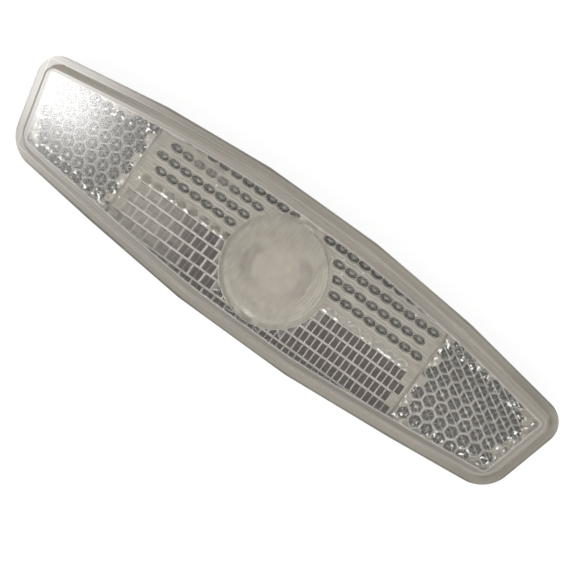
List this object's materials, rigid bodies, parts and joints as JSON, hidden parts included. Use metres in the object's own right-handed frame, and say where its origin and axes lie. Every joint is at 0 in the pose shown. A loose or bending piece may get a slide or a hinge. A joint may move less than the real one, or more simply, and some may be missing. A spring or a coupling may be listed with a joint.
{
  "type": "bicycle spoke reflector",
  "caption": "Clear two-sided spoke reflector: long tapered body of welded prism lenses with a round hub and a clip that snaps onto a spoke.",
  "frame": {"origin": "hub axis on the plane of the rear face", "axes": "+X along the reflector, +Y along the spoke towards the longer side, +Z out of the front face"},
  "size_m": [0.1114, 0.0282, 0.01],
  "materials": {
    "clear_acrylic": "clear moulded acrylic, polished faces and prisms",
    "natural_nylon": "milky natural nylon, satin"
  },
  "bodies": {
    "root": {"front_lens": "clear_acrylic", "rear_lens": "clear_acrylic", "spoke_clip": "natural_nylon"}
  },
  "joints": []
}
